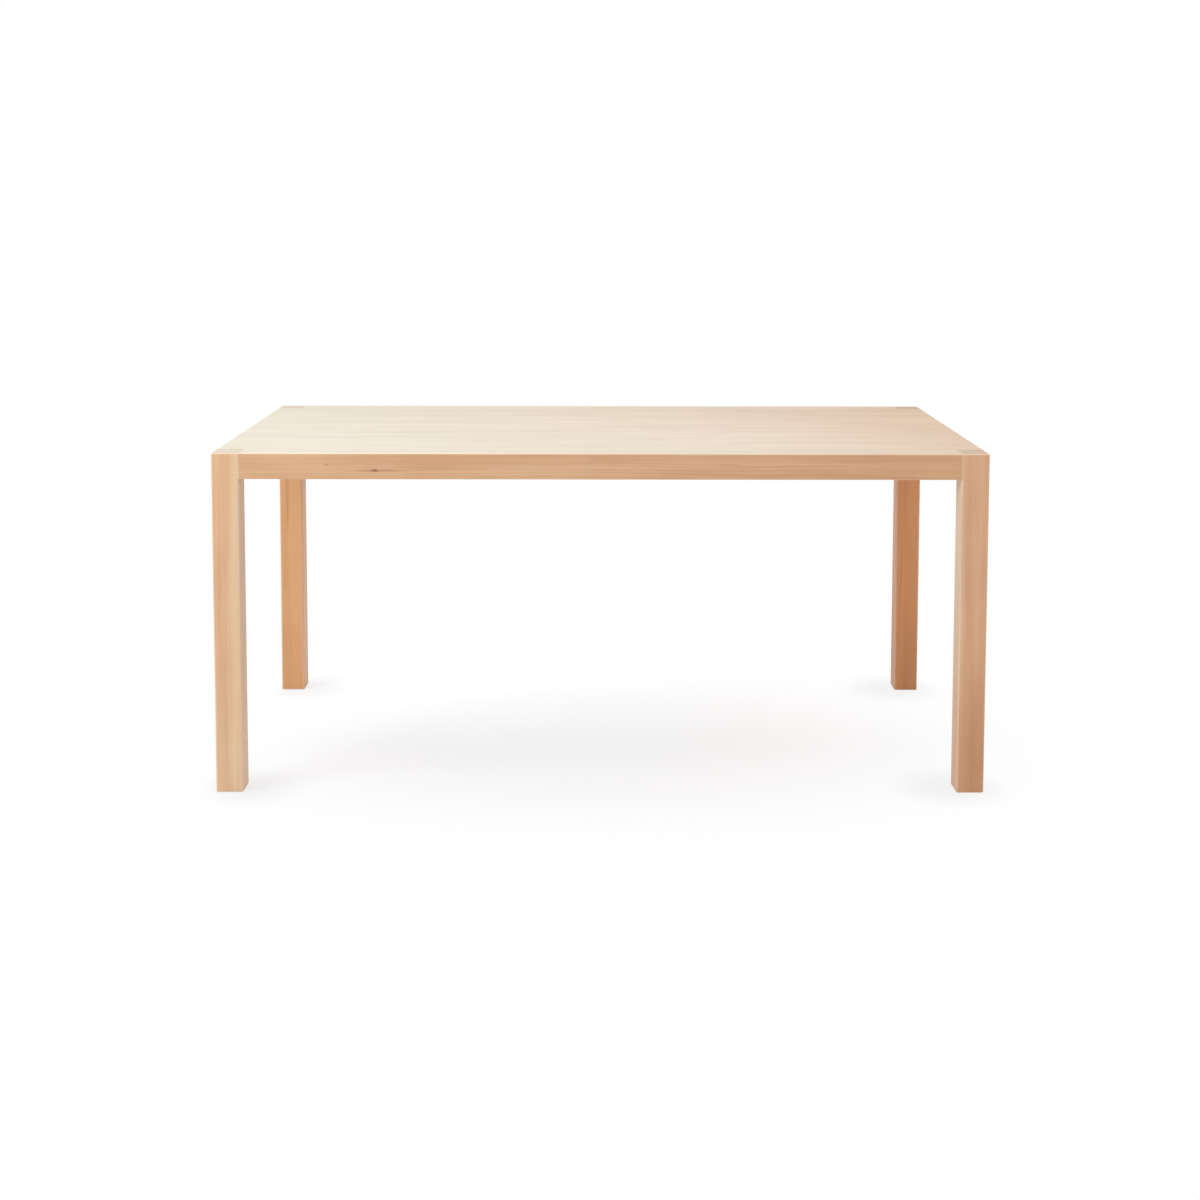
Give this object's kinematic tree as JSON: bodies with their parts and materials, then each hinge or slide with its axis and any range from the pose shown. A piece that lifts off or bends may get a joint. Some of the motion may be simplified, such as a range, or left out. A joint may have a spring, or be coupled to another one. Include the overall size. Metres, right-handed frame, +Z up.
{
  "type": "dining table",
  "caption": "Rectangular solid maple dining and banquet table with square legs that run up through the corners of a flush top.",
  "frame": {"origin": "on the floor, under the middle of the table top", "axes": "+X along the table's length to the right as seen from the front, +Y from the front edge to the back edge, +Z up; the front faces -Y"},
  "size_m": [1.68, 0.85, 0.75],
  "materials": {
    "maple_top": "pale maple, clear matt oil, fine grain along the length",
    "maple_legs": "pale maple, clear satin oil, upright grain, end grain at the top",
    "maple_rails": "pale maple, clear satin oil, grain along the rail",
    "maple_inner_frame": "planed maple, thin oil, hidden under the top",
    "zinc_plated_steel": "bright zinc plating",
    "glide_nylon": "off-white nylon"
  },
  "bodies": {
    "root": {"top_board_1": "maple_top", "top_board_2": "maple_top", "top_board_3": "maple_top", "top_board_4": "maple_top", "top_board_5": "maple_top", "top_board_6": "maple_top", "top_board_7": "maple_top", "leg_front_left": "maple_legs", "leg_front_right": "maple_legs", "leg_back_right": "maple_legs", "leg_back_left": "maple_legs", "rail_front": "maple_rails", "rail_right": "maple_rails", "rail_back": "maple_rails", "rail_left": "maple_rails", "cross_bearer_left": "maple_inner_frame", "cross_bearer_middle": "maple_inner_frame", "cross_bearer_right": "maple_inner_frame", "corner_block_front_left": "maple_inner_frame", "corner_block_front_right": "maple_inner_frame", "corner_block_back_right": "maple_inner_frame", "corner_block_back_left": "maple_inner_frame", "top_buttons": "maple_inner_frame", "hanger_bolts": "zinc_plated_steel", "bolt_washers": "zinc_plated_steel", "bolt_nuts": "zinc_plated_steel", "button_screws": "zinc_plated_steel", "bearer_screws": "zinc_plated_steel", "block_screws": "zinc_plated_steel", "floor_glides": "glide_nylon"}
  },
  "joints": []
}
